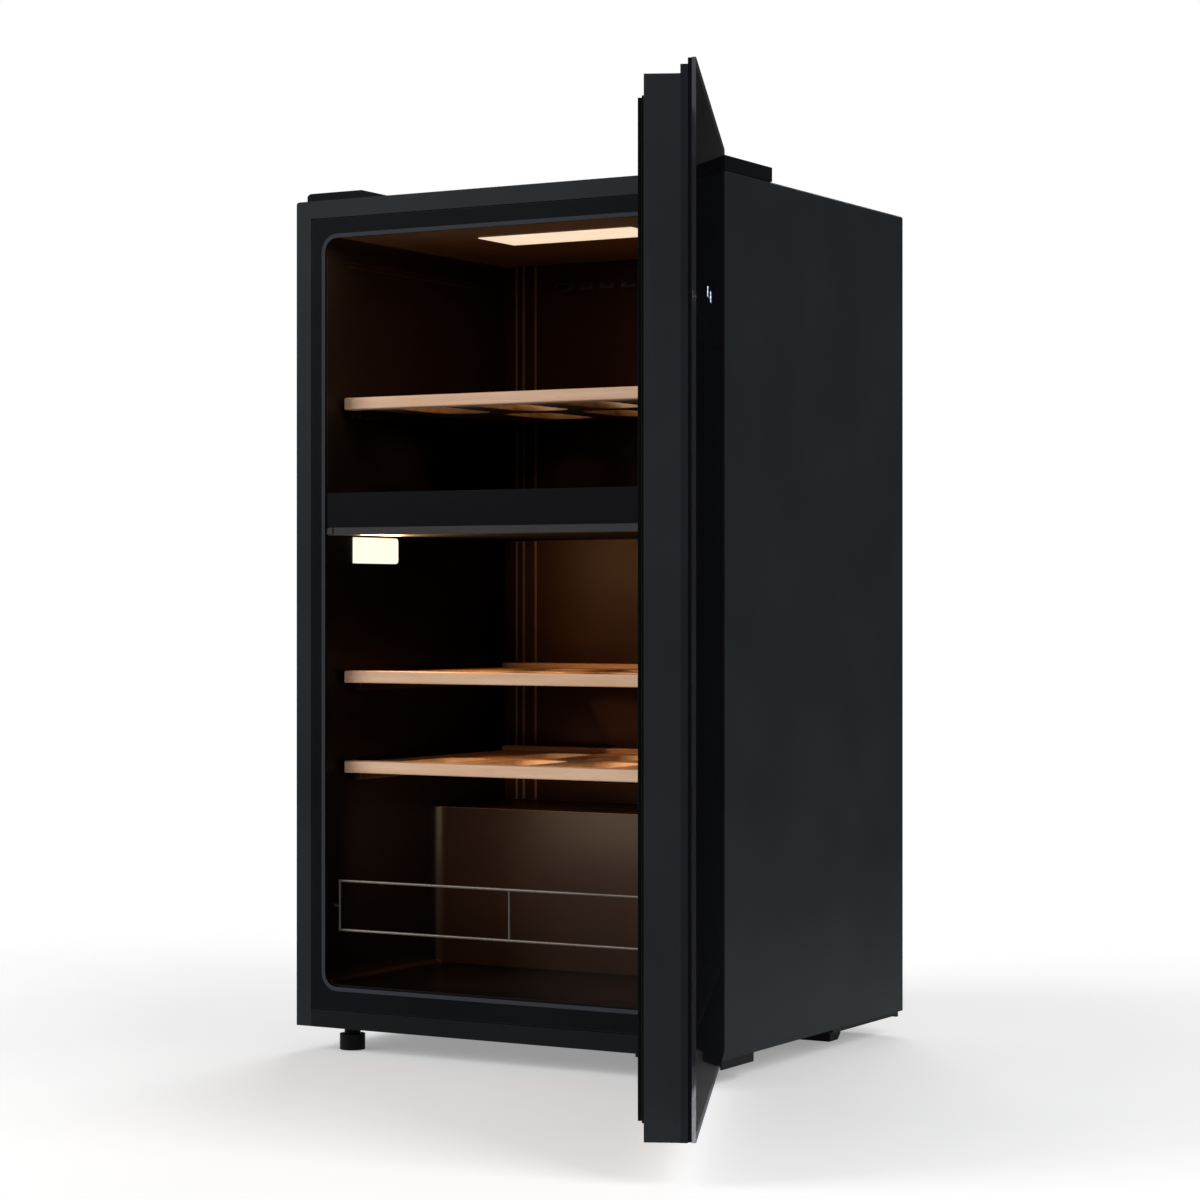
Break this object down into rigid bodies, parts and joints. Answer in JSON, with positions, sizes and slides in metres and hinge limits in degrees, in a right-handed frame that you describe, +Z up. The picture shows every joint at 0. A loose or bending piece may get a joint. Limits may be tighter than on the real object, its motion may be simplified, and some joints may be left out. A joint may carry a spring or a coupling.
{
  "type": "wine cooler",
  "caption": "Upright two-zone compressor wine cooler with a glass door standing open, sliding wooden shelves, a divider, interior lamps and levelling feet.",
  "frame": {"origin": "on the floor under the centre of the cabinet body's footprint", "axes": "+Z up, -Y the front, where the shelves slide out, +X to the hinge side"},
  "size_m": [0.6866, 0.8567, 0.863],
  "materials": {
    "outer_shell": "satin",
    "rear_panel": "satin",
    "bottom_plate": "satin",
    "insulation_foam": "matte",
    "inner_liner": "satin",
    "face_frame": "satin",
    "divider_core": "satin",
    "divider_trim": "satin",
    "divider_strip": "satin",
    "upper_duct_cover": "satin",
    "lower_duct_cover": "satin",
    "upper_evaporator": "satin",
    "lower_evaporator": "satin",
    "upper_fan_housing": "satin",
    "lower_fan_housing": "satin",
    "upper_fan_rotor": "satin",
    "lower_fan_rotor": "satin",
    "ceiling_lamp_housing": "satin",
    "ceiling_lamp_lens": "satin",
    "wall_lamp_housing": "satin",
    "wall_lamp_lens": "satin",
    "temperature_sensors": "satin",
    "bottle_guard": "satin",
    "hinge_top_plate": "satin",
    "hinge_top_pin": "satin",
    "hinge_top_cover": "satin",
    "blank_cap": "satin",
    "hinge_bottom_bracket": "satin",
    "hinge_bottom_pin": "satin",
    "machine_screws": "satin",
    "compressor": "satin",
    "compressor_tray": "satin",
    "compressor_mounts": "matte",
    "condenser_coil": "satin",
    "filter_drier": "satin",
    "refrigerant_lines": "satin",
    "drip_tray": "satin",
    "drain_tube": "matte",
    "control_box": "satin",
    "power_inlet": "satin",
    "rear_bay_cover": "satin",
    "rear_base_rail": "satin",
    "rear_foot_rail": "satin",
    "left_foot": "satin",
    "right_foot": "satin",
    "door_frame": "satin",
    "door_trim": "satin",
    "glass_border": "satin",
    "front_glass": "polished",
    "inner_glass": "polished",
    "glass_spacer": "satin",
    "door_gasket": "matte",
    "display_module": "gloss",
    "door_bushes": "satin",
    "upper_shelf_rail": "satin",
    "upper_shelf_board": "satin",
    "middle_shelf_rail": "satin",
    "middle_shelf_board": "satin",
    "lower_shelf_rail": "satin",
    "lower_shelf_board": "satin"
  },
  "bodies": {
    "cabinet": {"outer_shell": "outer_shell", "rear_panel": "rear_panel", "bottom_plate": "bottom_plate", "insulation_foam": "insulation_foam", "inner_liner": "inner_liner", "face_frame": "face_frame", "divider_core": "divider_core", "divider_trim": "divider_trim", "divider_strip": "divider_strip", "upper_duct_cover": "upper_duct_cover", "lower_duct_cover": "lower_duct_cover", "upper_evaporator": "upper_evaporator", "lower_evaporator": "lower_evaporator", "upper_fan_housing": "upper_fan_housing", "lower_fan_housing": "lower_fan_housing", "ceiling_lamp_housing": "ceiling_lamp_housing", "ceiling_lamp_lens": "ceiling_lamp_lens", "wall_lamp_housing": "wall_lamp_housing", "wall_lamp_lens": "wall_lamp_lens", "temperature_sensors": "temperature_sensors", "bottle_guard": "bottle_guard", "hinge_top_plate": "hinge_top_plate", "hinge_top_pin": "hinge_top_pin", "hinge_top_cover": "hinge_top_cover", "blank_cap": "blank_cap", "hinge_bottom_bracket": "hinge_bottom_bracket", "hinge_bottom_pin": "hinge_bottom_pin", "machine_screws": "machine_screws", "compressor": "compressor", "compressor_tray": "compressor_tray", "compressor_mounts": "compressor_mounts", "condenser_coil": "condenser_coil", "filter_drier": "filter_drier", "refrigerant_lines": "refrigerant_lines", "drip_tray": "drip_tray", "drain_tube": "drain_tube", "control_box": "control_box", "power_inlet": "power_inlet", "rear_bay_cover": "rear_bay_cover", "rear_base_rail": "rear_base_rail", "rear_foot_rail": "rear_foot_rail"},
    "door": {"door_frame": "door_frame", "door_trim": "door_trim", "glass_border": "glass_border", "front_glass": "front_glass", "inner_glass": "inner_glass", "glass_spacer": "glass_spacer", "door_gasket": "door_gasket", "display_module": "display_module", "door_bushes": "door_bushes"},
    "upper_shelf": {"upper_shelf_rail": "upper_shelf_rail", "upper_shelf_board": "upper_shelf_board"},
    "middle_shelf": {"middle_shelf_rail": "middle_shelf_rail", "middle_shelf_board": "middle_shelf_board"},
    "lower_shelf": {"lower_shelf_rail": "lower_shelf_rail", "lower_shelf_board": "lower_shelf_board"},
    "foot_left": {"left_foot": "left_foot"},
    "foot_right": {"right_foot": "right_foot"},
    "upper_fan": {"upper_fan_rotor": "upper_fan_rotor"},
    "lower_fan": {"lower_fan_rotor": "lower_fan_rotor"}
  },
  "joints": [
    {"name": "door_hinge", "type": "hinge", "parent": "cabinet", "child": "door", "pos_m": [0.228, -0.224, 0.424], "axis": [0, 0, 1], "range_deg": [-115, 5]},
    {"name": "upper_shelf_slide", "type": "slide", "parent": "cabinet", "child": "upper_shelf", "axis": [0, -1, 0], "range_m": [0, 0.15]},
    {"name": "middle_shelf_slide", "type": "slide", "parent": "cabinet", "child": "middle_shelf", "axis": [0, -1, 0], "range_m": [0, 0.15]},
    {"name": "lower_shelf_slide", "type": "slide", "parent": "cabinet", "child": "lower_shelf", "axis": [0, -1, 0], "range_m": [0, 0.15]},
    {"name": "left_foot_turn", "type": "hinge", "parent": "cabinet", "child": "foot_left", "pos_m": [-0.193, -0.171, 0.012], "axis": [0, 0, 1], "continuous": true},
    {"name": "right_foot_turn", "type": "hinge", "parent": "cabinet", "child": "foot_right", "pos_m": [0.193, -0.171, 0.012], "axis": [0, 0, 1], "continuous": true},
    {"name": "upper_fan_spin", "type": "hinge", "parent": "cabinet", "child": "upper_fan", "pos_m": [0, 0.1501, 0.616], "axis": [0, 1, 0], "continuous": true},
    {"name": "lower_fan_spin", "type": "hinge", "parent": "cabinet", "child": "lower_fan", "pos_m": [0, 0.1501, 0.456], "axis": [0, 1, 0], "continuous": true}
  ]
}
